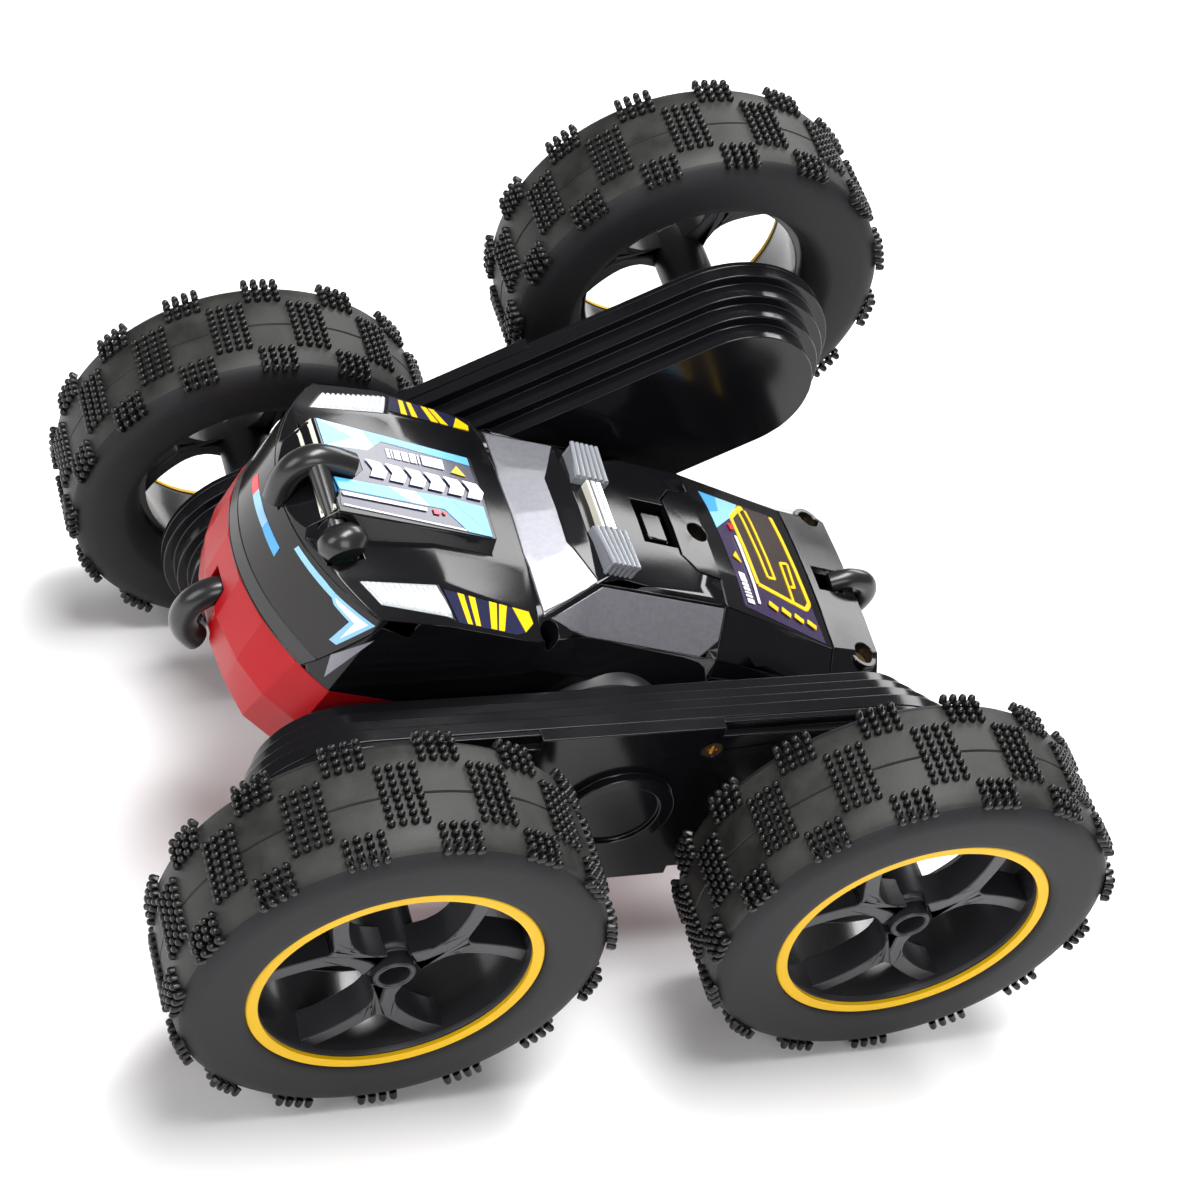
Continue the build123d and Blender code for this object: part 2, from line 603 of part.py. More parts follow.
with BuildPart() as lower_shell:
    add(lower_form.part)
    add(lower_core.part, mode=Mode.SUBTRACT)
    disc(BEARING_R + 0.6, -45, 45, mode=Mode.SUBTRACT)
    for x, y in POSTS:
        with Locations((x, y, BELLY + 1)):
            Cylinder(4.0, TRAY_TOP - 3.0 - BELLY - 1, align=(Align.CENTER, Align.CENTER, Align.MIN))
        with Locations((x, y, BELLY)):
            Cylinder(1.4, 12.0, align=(Align.CENTER, Align.CENTER, Align.MIN), mode=Mode.SUBTRACT)
            Cylinder(2.8, 5.0, align=(Align.CENTER, Align.CENTER, Align.MIN), mode=Mode.SUBTRACT)
    # notch that the nose hook stands in
    with BuildSketch(Plane(origin=(95, 0, 0), x_dir=(0, 1, 0), z_dir=(1, 0, 0))):
        Polygon(*NOSE_NOTCH, align=None)
    extrude(amount=-11.0, mode=Mode.SUBTRACT)
    # switch slot and the nose hook's slots
    with Locations((SWITCH_AT[0] + SWITCH_TRAVEL / 2, SWITCH_AT[1], BELLY + 1)):
        Box(12.6, 4.4, 6.0, mode=Mode.SUBTRACT)
    with Locations((86.0, 0, -12.0), (83.0, 0, -27.0)):
        Box(12.0, 2 * LOOP_R + 0.6, 8.0, mode=Mode.SUBTRACT)
    add(nose_hook.part, mode=Mode.SUBTRACT)

with BuildPart() as chassis_frame:
    with Locations((2.0, 0, TRAY_TOP - 1.5)):
        Box(118, 54, 3.0)
    with Locations((0, 0, TRAY_TOP - 1.5)):
        Box(26, 2 * BEARING_IN + 2, 3.0)
    for side in (-1, 1):
        disc(BEARING_R, side * BEARING_IN, side * BEARING_OUT)
    disc(SPINDLE_R + RUNNING, -45, 45, mode=Mode.SUBTRACT)
    for x, y in POSTS:
        with Locations((x, y, TRAY_TOP - 3.0)):
            Cylinder(1.2, 3.0, align=(Align.CENTER, Align.CENTER, Align.MIN), mode=Mode.SUBTRACT)
    for x, y in BOARD_POSTS:
        with Locations((x, y, TRAY_TOP)):
            Cylinder(2.4, 8.2, align=(Align.CENTER, Align.CENTER, Align.MIN))

with BuildPart() as shell_screws:
    for x, y in POSTS:
        with Locations((x, y, BELLY + 3.4)):
            Cylinder(2.6, 1.6, align=(Align.CENTER, Align.CENTER, Align.MIN))
        with Locations((x, y, BELLY + 5.0)):
            Cylinder(1.2, 8.0, align=(Align.CENTER, Align.CENTER, Align.MIN))
    for x, y in REAR_HOLES:
        with Locations((x, y, 24)):
            Cylinder(2.5, 1.8, align=(Align.CENTER, Align.CENTER, Align.MIN))

with BuildPart() as battery_pack:
    with Locations((-33.0, 0, -3.0)):
        Box(50, 36, 19.8)
    fillet(battery_pack.edges().filter_by(Axis.X), radius=4.0)

with BuildPart() as circuit_board:
    with Locations((34.0, 0, -4.0)):
        Box(46, 44, 1.6)
    with Locations((26.0, 8.0, -2.2), (44.0, -10.0, -2.2)):
        Box(12, 10, 2.0)
    with Locations((46.0, 12.0, 0.6)):
        Cylinder(4.0, 8.0)

with BuildPart() as headlight_leds:
    for y in (-30.0, 30.0):
        with Locations((64.0, y, 15.0)):
            Cylinder(2.5, 5.0)
        with Locations((64.0, y, 17.5)):
            Sphere(2.5)

with BuildPart() as roof_light_left:
    slab(LAMP, 33, 40.4)
    add(upper_form.part, mode=Mode.SUBTRACT)

with BuildPart() as roof_light_right:
    slab(mirrored(LAMP), 33, 40.4)
    add(upper_form.part, mode=Mode.SUBTRACT)

with BuildPart() as roof_light_bridge:
    slab([(6.4, -7.6), (10.8, -7.6), (10.8, 7.6), (6.4, 7.6)], 33, 39.2)
    add(upper_form.part, mode=Mode.SUBTRACT)

with BuildPart() as battery_latch:
    slab([(-12.2, -4.2), (-6.4, -4.2), (-6.4, 4.2), (-12.2, 4.2)], 31.8, 35.2)
    fillet(battery_latch.edges().filter_by(Axis.Z), radius=0.8)

with BuildPart() as power_switch:
    with Locations((*SWITCH_AT, BELLY + 1.6)):
        Box(6.0, 3.8, 3.2)
    with Locations((*SWITCH_AT, BELLY + 4.6)):
        Box(4.0, 3.0, 3.0)

body_pieces = {
    "upper_shell": upper_shell,
    "lower_shell": lower_shell,
    "chassis_frame": chassis_frame,
    "front_band": front_band,
    "front_lens": front_lens,
    "headlight_lenses": headlight_lenses,
    "headlight_leds": headlight_leds,
    "windscreen_panel": windscreen_panel,
    "roof_light_left": roof_light_left,
    "roof_light_right": roof_light_right,
    "roof_light_bridge": roof_light_bridge,
    "battery_door": battery_door,
    "battery_door_screw": battery_door_screw,
    "battery_latch": battery_latch,
    "battery_pack": battery_pack,
    "circuit_board": circuit_board,
    "shell_screws": shell_screws,
    "hood_guard": hood_guard,
    "nose_hook": nose_hook,
    "tail_hook": tail_hook,
    "power_switch": power_switch,
}

for label, piece in body_pieces.items():
    finish(piece, label, body_frame)
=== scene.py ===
"""Looks of a radio-controlled stunt car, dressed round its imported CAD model.

Lengths are millimetres in the frame of what carries the piece, and place() sets
them in the row frame in metres. The body and arm frames have +X forward, +Y to
the car's left and their origin on the arms' pivot axis, in the middle of the body.
"""
import json
from math import cos, hypot, pi, radians, sin

import bmesh
import bpy
from mathutils import Matrix, Vector
from mathutils.bvhtree import BVHTree
from mathutils.geometry import tessellate_polygon

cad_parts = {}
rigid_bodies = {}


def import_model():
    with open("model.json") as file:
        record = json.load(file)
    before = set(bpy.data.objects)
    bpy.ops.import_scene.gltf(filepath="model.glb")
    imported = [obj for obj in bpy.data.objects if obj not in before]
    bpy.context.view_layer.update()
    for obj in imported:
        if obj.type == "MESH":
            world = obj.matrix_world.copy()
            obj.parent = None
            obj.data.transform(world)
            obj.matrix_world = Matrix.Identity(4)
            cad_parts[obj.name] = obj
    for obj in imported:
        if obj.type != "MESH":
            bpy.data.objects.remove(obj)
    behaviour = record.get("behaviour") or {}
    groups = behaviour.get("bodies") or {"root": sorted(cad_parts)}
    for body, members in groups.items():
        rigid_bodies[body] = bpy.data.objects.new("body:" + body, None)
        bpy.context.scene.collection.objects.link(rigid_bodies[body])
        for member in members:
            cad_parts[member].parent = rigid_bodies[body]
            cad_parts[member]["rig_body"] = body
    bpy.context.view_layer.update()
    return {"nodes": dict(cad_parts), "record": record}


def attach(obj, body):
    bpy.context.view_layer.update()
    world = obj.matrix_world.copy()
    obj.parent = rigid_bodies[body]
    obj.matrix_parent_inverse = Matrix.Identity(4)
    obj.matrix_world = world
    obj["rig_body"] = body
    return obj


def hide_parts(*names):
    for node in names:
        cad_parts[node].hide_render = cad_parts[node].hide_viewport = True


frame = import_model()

MM = 0.001

# ---- stance, as in the CAD -------------------------------------------------
STAND_LEAN = -10.88
STAND_SIDE = 3.2
STAND_HEIGHT = 69.915
BODY_TURN = -18.0
RIGHT_ARM_TURN = 32.57
HALF_BASE = 63.0

# ---- wheels ------------------------------------------------------------------
TYRE_IN = 70.4
TYRE_OUT = 102.9
TYRE_MID = (TYRE_IN + TYRE_OUT) / 2
CROWN_R = 49.3
SHOULDER_R = 48.6
RING_R = 33.5
RING_IN_R = 30.8
RING_PLANE = 101.9
SPOKE_BACK = 90.6
SPOKE_FACE = 98.6
TREAD_COUNT = 15
TREAD_STEP = 360 / TREAD_COUNT

# ---- nose: a cone about an upright line at NOSE_AT --------------------------------
NOSE_AT = 37.2
NOSE_LOW, NOSE_LOW_R = -1, 51.0
NOSE_HIGH, NOSE_HIGH_R = 40, 49.4

# ---- camera --------------------------------------------------------------------
CAMERA_AZIMUTH = 149.315
CAMERA_ELEVATION = 46.163
CAMERA_ROLL = -20.204
CAMERA_DISTANCE = 553.7
CAMERA_AIM = (51.6, 101.875, 131.5)
CAMERA_LENS = 90.1


def shift(x, y, z):
    return Matrix.Translation((x, y, z))


def turn(angle, axis):
    return Matrix.Rotation(radians(angle), 4, axis)


STAND = shift(0, STAND_SIDE, STAND_HEIGHT) @ turn(STAND_LEAN, "X")
BODY = STAND @ turn(BODY_TURN, "Y")
ARMS = {"left": STAND, "right": STAND @ turn(RIGHT_ARM_TURN, "Y")}
MIRROR = Matrix.Diagonal((1, -1, 1, 1))
ENDS = {"front": 1, "rear": -1}


# ===========================================================================
# Materials
# ===========================================================================

def plastic(
    name, colour, roughness, spread=0.12, grain=60.0, bump=0.02, rough_spread=0.05,
    metallic=0.0, coat=0.0, transmission=0.0, glow=0.0, specular=0.5,
):
    """Moulded or printed surface: two tints and roughness from one noise, fine relief from another."""
    made = bpy.data.materials.new(name)
    made.use_nodes = True
    nodes, links = made.node_tree.nodes, made.node_tree.links
    shader = nodes["Principled BSDF"]
    shader.inputs["Metallic"].default_value = metallic
    shader.inputs["Coat Weight"].default_value = coat
    shader.inputs["Coat Roughness"].default_value = 0.08
    shader.inputs["Transmission Weight"].default_value = transmission
    shader.inputs["Specular IOR Level"].default_value = specular
    shader.inputs["Emission Color"].default_value = (1, 1, 1, 1)
    shader.inputs["Emission Strength"].default_value = glow
    where = nodes.new("ShaderNodeTexCoord")
    noise = nodes.new("ShaderNodeTexNoise")
    noise.inputs["Scale"].default_value = grain
    noise.inputs["Detail"].default_value = 6.0
    links.new(where.outputs["Object"], noise.inputs["Vector"])
    tint = nodes.new("ShaderNodeValToRGB")
    tint.color_ramp.elements[0].position = 0.3
    tint.color_ramp.elements[1].position = 0.7
    tint.color_ramp.elements[0].color = (*[c * (1 - spread) for c in colour], 1)
    tint.color_ramp.elements[1].color = (*[min(c * (1 + spread), 1) for c in colour], 1)
    links.new(noise.outputs["Fac"], tint.inputs["Fac"])
    links.new(tint.outputs["Color"], shader.inputs["Base Color"])
    gloss = nodes.new("ShaderNodeMapRange")
    gloss.inputs["To Min"].default_value = max(roughness - rough_spread, 0.02)
    gloss.inputs["To Max"].default_value = roughness + rough_spread
    links.new(noise.outputs["Fac"], gloss.inputs["Value"])
    links.new(gloss.outputs["Result"], shader.inputs["Roughness"])
    fine = nodes.new("ShaderNodeTexNoise")
    fine.inputs["Scale"].default_value = grain * 22
    fine.inputs["Detail"].default_value = 3.0
    links.new(where.outputs["Object"], fine.inputs["Vector"])
    relief = nodes.new("ShaderNodeBump")
    relief.inputs["Strength"].default_value = bump
    relief.inputs["Distance"].default_value = 0.0004
    links.new(fine.outputs["Fac"], relief.inputs["Height"])
    links.new(relief.outputs["Normal"], shader.inputs["Normal"])
    return made


black = plastic("black_gloss", (0.004, 0.004, 0.005), 0.15, bump=0.02, specular=0.34)
red = plastic("red_gloss", (0.40, 0.001, 0.005), 0.36, spread=0.06, specular=0.22)
dark = plastic("chassis_black", (0.014, 0.014, 0.016), 0.42)
smoked = plastic("smoked_lens", (0.012, 0.010, 0.009), 0.12, spread=0.3, grain=25, specular=0.36)
clear = plastic("clear_lens", (0.90, 0.93, 0.97), 0.08, spread=0.02, transmission=0.7, glow=0.12)
glassy = plastic("lamp_block", (0.42, 0.44, 0.48), 0.10, spread=0.05, transmission=0.45, coat=0.5)
lit = plastic("led", (1.0, 1.0, 1.0), 0.3, spread=0.0, glow=6.0)
silver = plastic(
    "silver_panel", (0.27, 0.27, 0.30), 0.42, spread=0.07, grain=900, metallic=0.75, bump=0.08,
)
rubber = plastic("black_rubber", (0.010, 0.010, 0.011), 0.30, coat=0.15)
band = plastic("band_rubber", (0.016, 0.015, 0.015), 0.35, coat=0.1)
wrap = plastic("battery_wrap", (0.02, 0.10, 0.32), 0.35)
board = plastic("board_green", (0.01, 0.16, 0.05), 0.45)
brass = plastic("screw_brass", (0.80, 0.55, 0.25), 0.28, metallic=1.0)
switch = plastic("switch_plastic", (0.02, 0.02, 0.02), 0.5)
steel = plastic("motor_steel", (0.55, 0.55, 0.56), 0.30, metallic=1.0)
nylon = plastic("gear_nylon", (0.85, 0.83, 0.76), 0.45, spread=0.04)
tread = plastic(
    "tread_rubber", (0.017, 0.017, 0.015), 0.55, spread=0.6, grain=120, rough_spread=0.16, bump=0.14,
    specular=0.4,
)
knob = plastic(
    "knob_rubber", (0.004, 0.004, 0.004), 0.32, spread=0.35, grain=300, rough_spread=0.1, specular=0.4,
)
sidewall = plastic(
    "sidewall_rubber", (0.0085, 0.0085, 0.010), 0.60, spread=0.16, grain=50, rough_spread=0.04, bump=0.10,
    specular=0.3,
)
charcoal = plastic("rim_charcoal", (0.022, 0.022, 0.027), 0.42, spread=0.12, bump=0.06)
barrel = plastic("rim_barrel", (0.020, 0.020, 0.022), 0.22, coat=0.2)
yellow = plastic("ring_yellow", (0.72, 0.42, 0.0), 0.5, spread=0.05, specular=0.3)
axle = plastic("axle_steel", (0.40, 0.40, 0.42), 0.3, metallic=1.0)
navy = plastic("film_navy", (0.012, 0.013, 0.045), 0.24, coat=0.2)
sky = plastic("film_sky", (0.05, 0.34, 0.68), 0.26, spread=0.05, coat=0.2)
ice = plastic("film_ice", (0.26, 0.56, 0.84), 0.26, spread=0.05, coat=0.2)
azure = plastic("film_azure", (0.05, 0.27, 0.62), 0.26, spread=0.05, coat=0.2)
white = plastic("film_white", (0.88, 0.89, 0.92), 0.28, spread=0.03)
amber = plastic("film_yellow", (0.82, 0.52, 0.0), 0.3, spread=0.04)
scarlet = plastic("film_red", (0.85, 0.02, 0.03), 0.28)
umber = plastic("film_umber", (0.030, 0.018, 0.016), 0.26, coat=0.2)
violet = plastic("film_violet", (0.030, 0.018, 0.060), 0.26, coat=0.2)
cream = plastic("film_cream", (0.70, 0.68, 0.58), 0.3)
chrome = plastic("chrome", (0.75, 0.75, 0.78), 0.12, metallic=1.0)

FINISHES = {
    "shell_black": black, "shell_red": red, "chassis_plastic": dark, "smoked_lens": smoked,
    "clear_lens": clear, "led": lit, "silver_panel": silver, "black_rubber": band,
    "battery_wrap": wrap, "board_green": board, "screw_brass": brass, "switch_plastic": switch,
    "motor_steel": steel, "gear_nylon": nylon, "tyre_rubber": sidewall, "rim_plastic": charcoal,
    "ring_yellow": yellow, "axle_steel": axle,
}

# ===========================================================================
# CAD nodes: each takes its slot's finish; the faceted ones are shown by copies with rounded edges
# ===========================================================================

EDGE_ROUND = 0.3            # millimetres
WELD = 2e-6                 # metres between points that are one point
FLAT_LIMIT = 13             # degrees between flats that still read as one curve
SLOT_OF = {part["node"]: part["material_slot"] for part in frame["record"]["subparts"]}
SKINNED = [
    "upper_shell", "lower_shell", "battery_door", "windscreen_panel", "headlight_lenses", "front_lens",
    "front_band", "battery_latch", "arm_inner_shell_left", "arm_inner_shell_right",
    "arm_outer_shell_left", "arm_outer_shell_right",
]


def round_edges(piece, width, above):
    """Bevel on every edge sharper than the angle."""
    edges = piece.modifiers.new("edges", "BEVEL")
    edges.width = width * MM
    edges.segments = 2
    edges.limit_method = "ANGLE"
    edges.angle_limit = radians(above)
    edges.use_clamp_overlap = False
    edges.harden_normals = True


def skinned(name):
    """Shown copy of a faceted CAD node, welded, with flats that meet at crisp rounded edges."""
    node = frame["nodes"][name]
    mesh = node.data.copy()
    mesh.name = f"{name}_skin"
    if "custom_normal" in mesh.attributes:
        mesh.attributes.remove(mesh.attributes["custom_normal"])
    bm = bmesh.new()
    bm.from_mesh(mesh)
    bmesh.ops.remove_doubles(bm, verts=bm.verts, dist=WELD)
    bm.to_mesh(mesh)
    bm.free()
    mesh.polygons.foreach_set("use_smooth", [True] * len(mesh.polygons))
    mesh.set_sharp_from_angle(angle=radians(FLAT_LIMIT))
    piece = bpy.data.objects.new(f"{name}_skin", mesh)
    bpy.context.scene.collection.objects.link(piece)
    round_edges(piece, EDGE_ROUND, FLAT_LIMIT)
    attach(piece, node["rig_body"])
    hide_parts(name)


for name, node in frame["nodes"].items():
    node.data.materials.clear()
    node.data.materials.append(FINISHES[SLOT_OF[name]])
for name in SKINNED:
    skinned(name)


# ===========================================================================
# Mesh building
# ===========================================================================

def bands(rings, sides):
    """Quads between successive rings of the same number of points, and a cap on each end ring."""
    quads = [
        [a * sides + s, a * sides + (s + 1) % sides, (a + 1) * sides + (s + 1) % sides, (a + 1) * sides + s]
        for a in range(rings - 1) for s in range(sides)
    ]
    last = (rings - 1) * sides
    return quads + [list(reversed(range(sides))), [last + s for s in range(sides)]]


class Shape:
    """Vertices, faces and material numbers of one piece being built, in millimetres."""

    def __init__(self):
        self.verts = []
        self.faces = []
        self.slots = []

    def add(self, verts, faces, slot=0):
        base = len(self.verts)
        self.verts += [tuple(v) for v in verts]
        self.faces += [[base + i for i in face] for face in faces]
        self.slots += [slot] * len(faces)

    def lathe(self, profile, count, slots=None):
        """Closed profile of (radius, y) turned about the Y axis; slots gives each run's material."""
        rows = len(profile)
        verts = []
        for k in range(count):
            angle = 2 * pi * k / count
            verts += [(r * cos(angle), y, r * sin(angle)) for r, y in profile]
        base = len(self.verts)
        self.verts += verts
        for i in range(rows):
            j = (i + 1) % rows
            for k in range(count):
                here = base + k * rows
                there = base + (k + 1) % count * rows
                self.faces.append([here + i, here + j, there + j, there + i])
            self.slots += [slots[i] if slots else 0] * count

    def prism(self, outline, low, high, to_point, slot=0):
        """Outline of 2-D points extruded from low to high; to_point(u, v, h) gives the 3-D point."""
        count = len(outline)
        verts = [to_point(u, v, low) for u, v in outline] + [to_point(u, v, high) for u, v in outline]
        caps = tessellate_polygon([[Vector((u, v, 0)) for u, v in outline]])
        faces = [list(t) for t in caps] + [[count + i for i in reversed(t)] for t in caps]
        faces += [[i, (i + 1) % count, count + (i + 1) % count, count + i] for i in range(count)]
        self.add(verts, faces, slot)

    def tube(self, path, radius, sides, slot=0):
        """Round bar along a path of points, closed at both ends; radius is one value or one per point."""
        radii = radius if isinstance(radius, list) else [radius] * len(path)
        points = [Vector(p) for p in path]
        side = None
        verts = []
        for i, point in enumerate(points):
            along = (points[min(i + 1, len(points) - 1)] - points[max(i - 1, 0)]).normalized()
            if side is None:
                side = along.orthogonal().normalized()
            side = (side - along * side.dot(along)).normalized()
            other = along.cross(side)
            verts += [
                point + (side * cos(2 * pi * k / sides) + other * sin(2 * pi * k / sides)) * radii[i]
                for k in range(sides)
            ]
        self.add(verts, bands(len(points), sides), slot)


def place(name, shape, where, body, materials, node=None, smooth=32, rounding=0.0):
    """Make the piece: set it in the row frame, ride it on its body and hide the CAD node it stands for."""
    where_m = Matrix.Scale(MM, 4) @ where
    mesh = bpy.data.meshes.new(name)
    flip = where.determinant() < 0
    faces = [list(reversed(f)) for f in shape.faces] if flip else shape.faces
    mesh.from_pydata([where_m @ Vector(v) for v in shape.verts], [], faces)
    for made in materials:
        mesh.materials.append(made)
    mesh.polygons.foreach_set("material_index", shape.slots)
    bm = bmesh.new()
    bm.from_mesh(mesh)
    bmesh.ops.recalc_face_normals(bm, faces=bm.faces)
    bm.to_mesh(mesh)
    bm.free()
    mesh.polygons.foreach_set("use_smooth", [True] * len(mesh.polygons))
    mesh.set_sharp_from_angle(angle=radians(smooth))
    piece = bpy.data.objects.new(name, mesh)
    bpy.context.scene.collection.objects.link(piece)
    if rounding:
        round_edges(piece, rounding, 32)
    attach(piece, body)
    if node:
        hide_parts(node)
    return piece


def spline(points, steps):
    """Smooth line through the points, steps to each run."""
    last = len(points) - 1
    line = []
    for i in range(last):
        p = [Vector(points[min(max(i + k, 0), last)]) for k in (-1, 0, 1, 2)]
        for s in range(steps):
            t = s / steps
            line.append(
                0.5 * (2 * p[1] + (p[2] - p[0]) * t + (2 * p[0] - 5 * p[1] + 4 * p[2] - p[3]) * t ** 2
                       + (3 * p[1] - p[0] - 3 * p[2] + p[3]) * t ** 3)
            )
    line.append(Vector(points[-1]))
    return line


# ===========================================================================
# Wheels
# ===========================================================================

def carcass(shape):
    """Tyre without its knobs: bead, sidewalls, shoulders and a crown parted down the middle."""
    part = 0.35             # half width of the parting line
    facets = 144
    crown = [
        (SHOULDER_R, TYRE_OUT - 3.2), (CROWN_R - 0.15, TYRE_OUT - 8), (CROWN_R, TYRE_MID + part),
        (CROWN_R - 0.5, TYRE_MID), (CROWN_R, TYRE_MID - part), (CROWN_R - 0.15, TYRE_IN + 8),
        (SHOULDER_R, TYRE_IN + 3.2),
    ]
    outer = [
        (32.2, 100.6), (RING_R + 0.05, 101.0), (RING_R + 0.15, RING_PLANE + 0.2), (34.4, 102.75),
        (36.0, TYRE_OUT), (43.2, TYRE_OUT), (45.0, TYRE_OUT - 0.25), (46.6, TYRE_OUT - 1.0),
        (47.8, TYRE_OUT - 2.0),
    ]
    inner = [
        (47.8, TYRE_IN + 2.0), (46.6, TYRE_IN + 1.0), (45.0, TYRE_IN + 0.25), (43.2, TYRE_IN),
        (36.0, TYRE_IN), (34.0, TYRE_IN + 0.4), (30.4, 77.2), (30.4, 79.2), (32.2, 79.4),
    ]
    profile = outer + crown + inner
    first = len(outer) - 1
    slots = [1 if first <= i < first + len(crown) else 0 for i in range(len(profile))]
    shape.lathe(profile, facets, slots)


def knobs(shape):
    """Chequered blocks of round-topped studs: four rows across the tread, four by four studs each."""
    studs = 4               # along each side of a block
    sides = 7
    stud_r = 0.90
    levels = [(-0.9, 1.05), (0.6, 1.0), (1.05, 0.8), (1.3, 0.45)]
    pitch_y = 2.02
    pitch_turn = 2.95       # degrees
    edge_lean = 24          # degrees that the outermost studs tip over the shoulder
    edge_drop = 0.45
    middle = (studs - 1) / 2
    across = [TYRE_MID + d for d in (-12.0, -4.0, 4.0, 12.0)]
    phases = [0.0, 0.5, 0.5, 0.0]
    for row, (y_mid, phase) in enumerate(zip(across, phases)):
        for k in range(TREAD_COUNT):
            block = (k + phase) * TREAD_STEP
            for i in range(studs):
                y = y_mid + (i - middle) * pitch_y
                edge = (row == 0 and i == 0) or (row == len(across) - 1 and i == studs - 1)
                lean = radians(edge_lean) * (-1 if row == 0 else 1) if edge else 0.0
                base_r = CROWN_R + 0.05 - (edge_drop if edge else 0.0)
                for j in range(studs):
                    angle = radians(block + (j - middle) * pitch_turn)
                    out = Vector((cos(angle) * cos(lean), sin(lean), sin(angle) * cos(lean)))
                    round_way = Vector((-sin(angle), 0, cos(angle)))
                    side_way = out.cross(round_way)
                    foot = Vector((cos(angle) * base_r, y, sin(angle) * base_r))
                    verts = []
                    for height, share in levels:
                        verts += [
                            foot + out * height
                            + (round_way * cos(2 * pi * s / sides) + side_way * sin(2 * pi * s / sides))
                            * stud_r * share
                            for s in range(sides)
                        ]
                    shape.add(verts, bands(len(levels), sides), 2)


def spokes(shape):
    """Three curved Y spokes from the hub to six points of the rim."""
    count = 3
    fork = (17.9, 0.0)
    prong = [(11.0, 2.7), (15.0, 4.0), (19.0, 7.3), (22.8, 11.9), (25.6, 16.9)]
    inner = [(28.0, 12.7), (24.8, 8.2), (21.0, 3.9), (18.6, 1.4)]
    half = [(5.0, 4.2), (7.8, 3.2)] + prong
    rim_side = spline([Vector((x, y, 0)) for x, y in half], 5)
    fork_side = spline([Vector((x, y, 0)) for x, y in inner + [fork]], 5)[:-1]
    upper = [(v.x, v.y) for v in rim_side] + [(v.x, v.y) for v in fork_side]
    outline = upper + [fork] + [(x, -y) for x, y in reversed(upper)]
    for k in range(count):
        angle = radians(90 + 360 / count * k)

        def to_point(u, v, h, angle=angle):
            return (u * cos(angle) - v * sin(angle), h, -(u * sin(angle) + v * cos(angle)))

        shape.prism(outline, SPOKE_BACK, SPOKE_FACE, to_point)


def rim(shape):
    """Barrel, glossy inside and out but for its front lip, with the hub, its tube and the spokes."""
    shape.lathe(
        [(31.9, 79.2), (31.9, 100.7), (30.95, 100.7), (30.6, 99.4),
         (30.1, 92.0), (29.2, 84.0), (28.5, 79.2)],
        96, [1, 0, 0, 1, 1, 1, 1],
    )
    shape.lathe(
        [(2.1, 74.2), (6.9, 74.2), (6.9, 95.4), (6.2, 96.3), (4.9, 96.3), (4.8, 99.9), (4.5, 100.2),
         (3.9, 100.2), (3.6, 99.9), (3.6, 89.8), (2.1, 89.6)],
        48,
    )
    spokes(shape)


tyre_shape = Shape()
carcass(tyre_shape)
knobs(tyre_shape)
rim_shape = Shape()
rim(rim_shape)
ring_shape = Shape()
ring_shape.lathe(
    [(RING_IN_R, 100.95), (RING_IN_R, RING_PLANE), (31.2, 102.08), (33.2, 102.08), (RING_R, 101.8),
     (RING_R, 100.95)],
    128,
)

for side, arm in ARMS.items():
    for end, sign in ENDS.items():
        where = arm @ shift(sign * HALF_BASE, 0, 0)
        if side == "right":
            where = where @ MIRROR
        body = f"wheel_{end}_{side}"
        place(f"tyre_with_knobs_{end}_{side}", tyre_shape, where, body, [sidewall, tread, knob],
              f"tyre_{end}_{side}", smooth=50)
        place(f"spoked_rim_{end}_{side}", rim_shape, where, body, [charcoal, barrel],
              f"rim_{end}_{side}", rounding=0.45)
        place(f"rim_ring_{end}_{side}", ring_shape, where, body, [yellow],
              f"trim_ring_{end}_{side}")

# ===========================================================================
# Guard loops
# ===========================================================================


def loop(name, node, route, radius, extra=()):
    """Rubber loop along a smooth route, a little thinner at its ends, with any further tapered bars."""
    shape = Shape()
    line = spline(route, 8)
    count = len(line)
    radii = [radius] * count
    radii[0] *= 0.8
    radii[-1] *= 0.8
    shape.tube(line, radii, 20)
    for path, tapers in extra:
        shape.tube(path, tapers, 20)
    place(name, shape, BODY, "body", [rubber], node, smooth=50)


HOOD_LOOP_R = 3.35
TAIL_LOOP_R = 2.75

loop(
    "hood_guard_loop", "hood_guard",
    [(87.4, 0, 20.5), (88.5, 0, 26.0), (88.0, 0, 31.0), (85.4, 0, 34.3), (81.0, 0, 35.1), (75.2, 0, 34.4)],
    HOOD_LOOP_R,
    [
        ([(84.6, 0.4, 34.4), (81.6, 10.0, 31.0), (79.6, 16.6, 28.9)], [2.7, 2.1, 2.3]),
        ([(80.0, 15.2, 29.6), (79.3, 17.2, 28.8), (78.6, 19.5, 28.0), (78.0, 21.4, 27.4)],
         [3.4, 5.7, 5.9, 4.4]),
    ],
)
loop(
    "nose_hook_loop", "nose_hook",
    [(84.2, 0, -11.2), (87.6, 0, -13.4), (90.0, 0, -17.4), (90.0, 0, -22.4), (87.4, 0, -26.6),
     (83.2, 0, -29.2)],
    HOOD_LOOP_R,
)
loop(
    "tail_hook_loop", "tail_hook",
    [(-69.2, 0, 28.2), (-73.4, 0, 31.2), (-78.4, 0, 31.4), (-81.4, 0, 28.2), (-81.2, 0, 22.8),
     (-78.2, 0, 19.0)],
    TAIL_LOOP_R,
)

# ===========================================================================
# Films and ribs laid on the shell
# ===========================================================================

FILM_STEP = 0.02


def skin_of(*names):
    """Search tree over the outer faces of CAD nodes, in the row frame."""
    verts, faces = [], []
    for name in names:
        mesh = frame["nodes"][name].data
        base = len(verts)
        verts += [v.co.copy() for v in mesh.vertices]
        faces += [[base + i for i in p.vertices] for p in mesh.polygons]
    return BVHTree.FromPolygons(verts, faces)


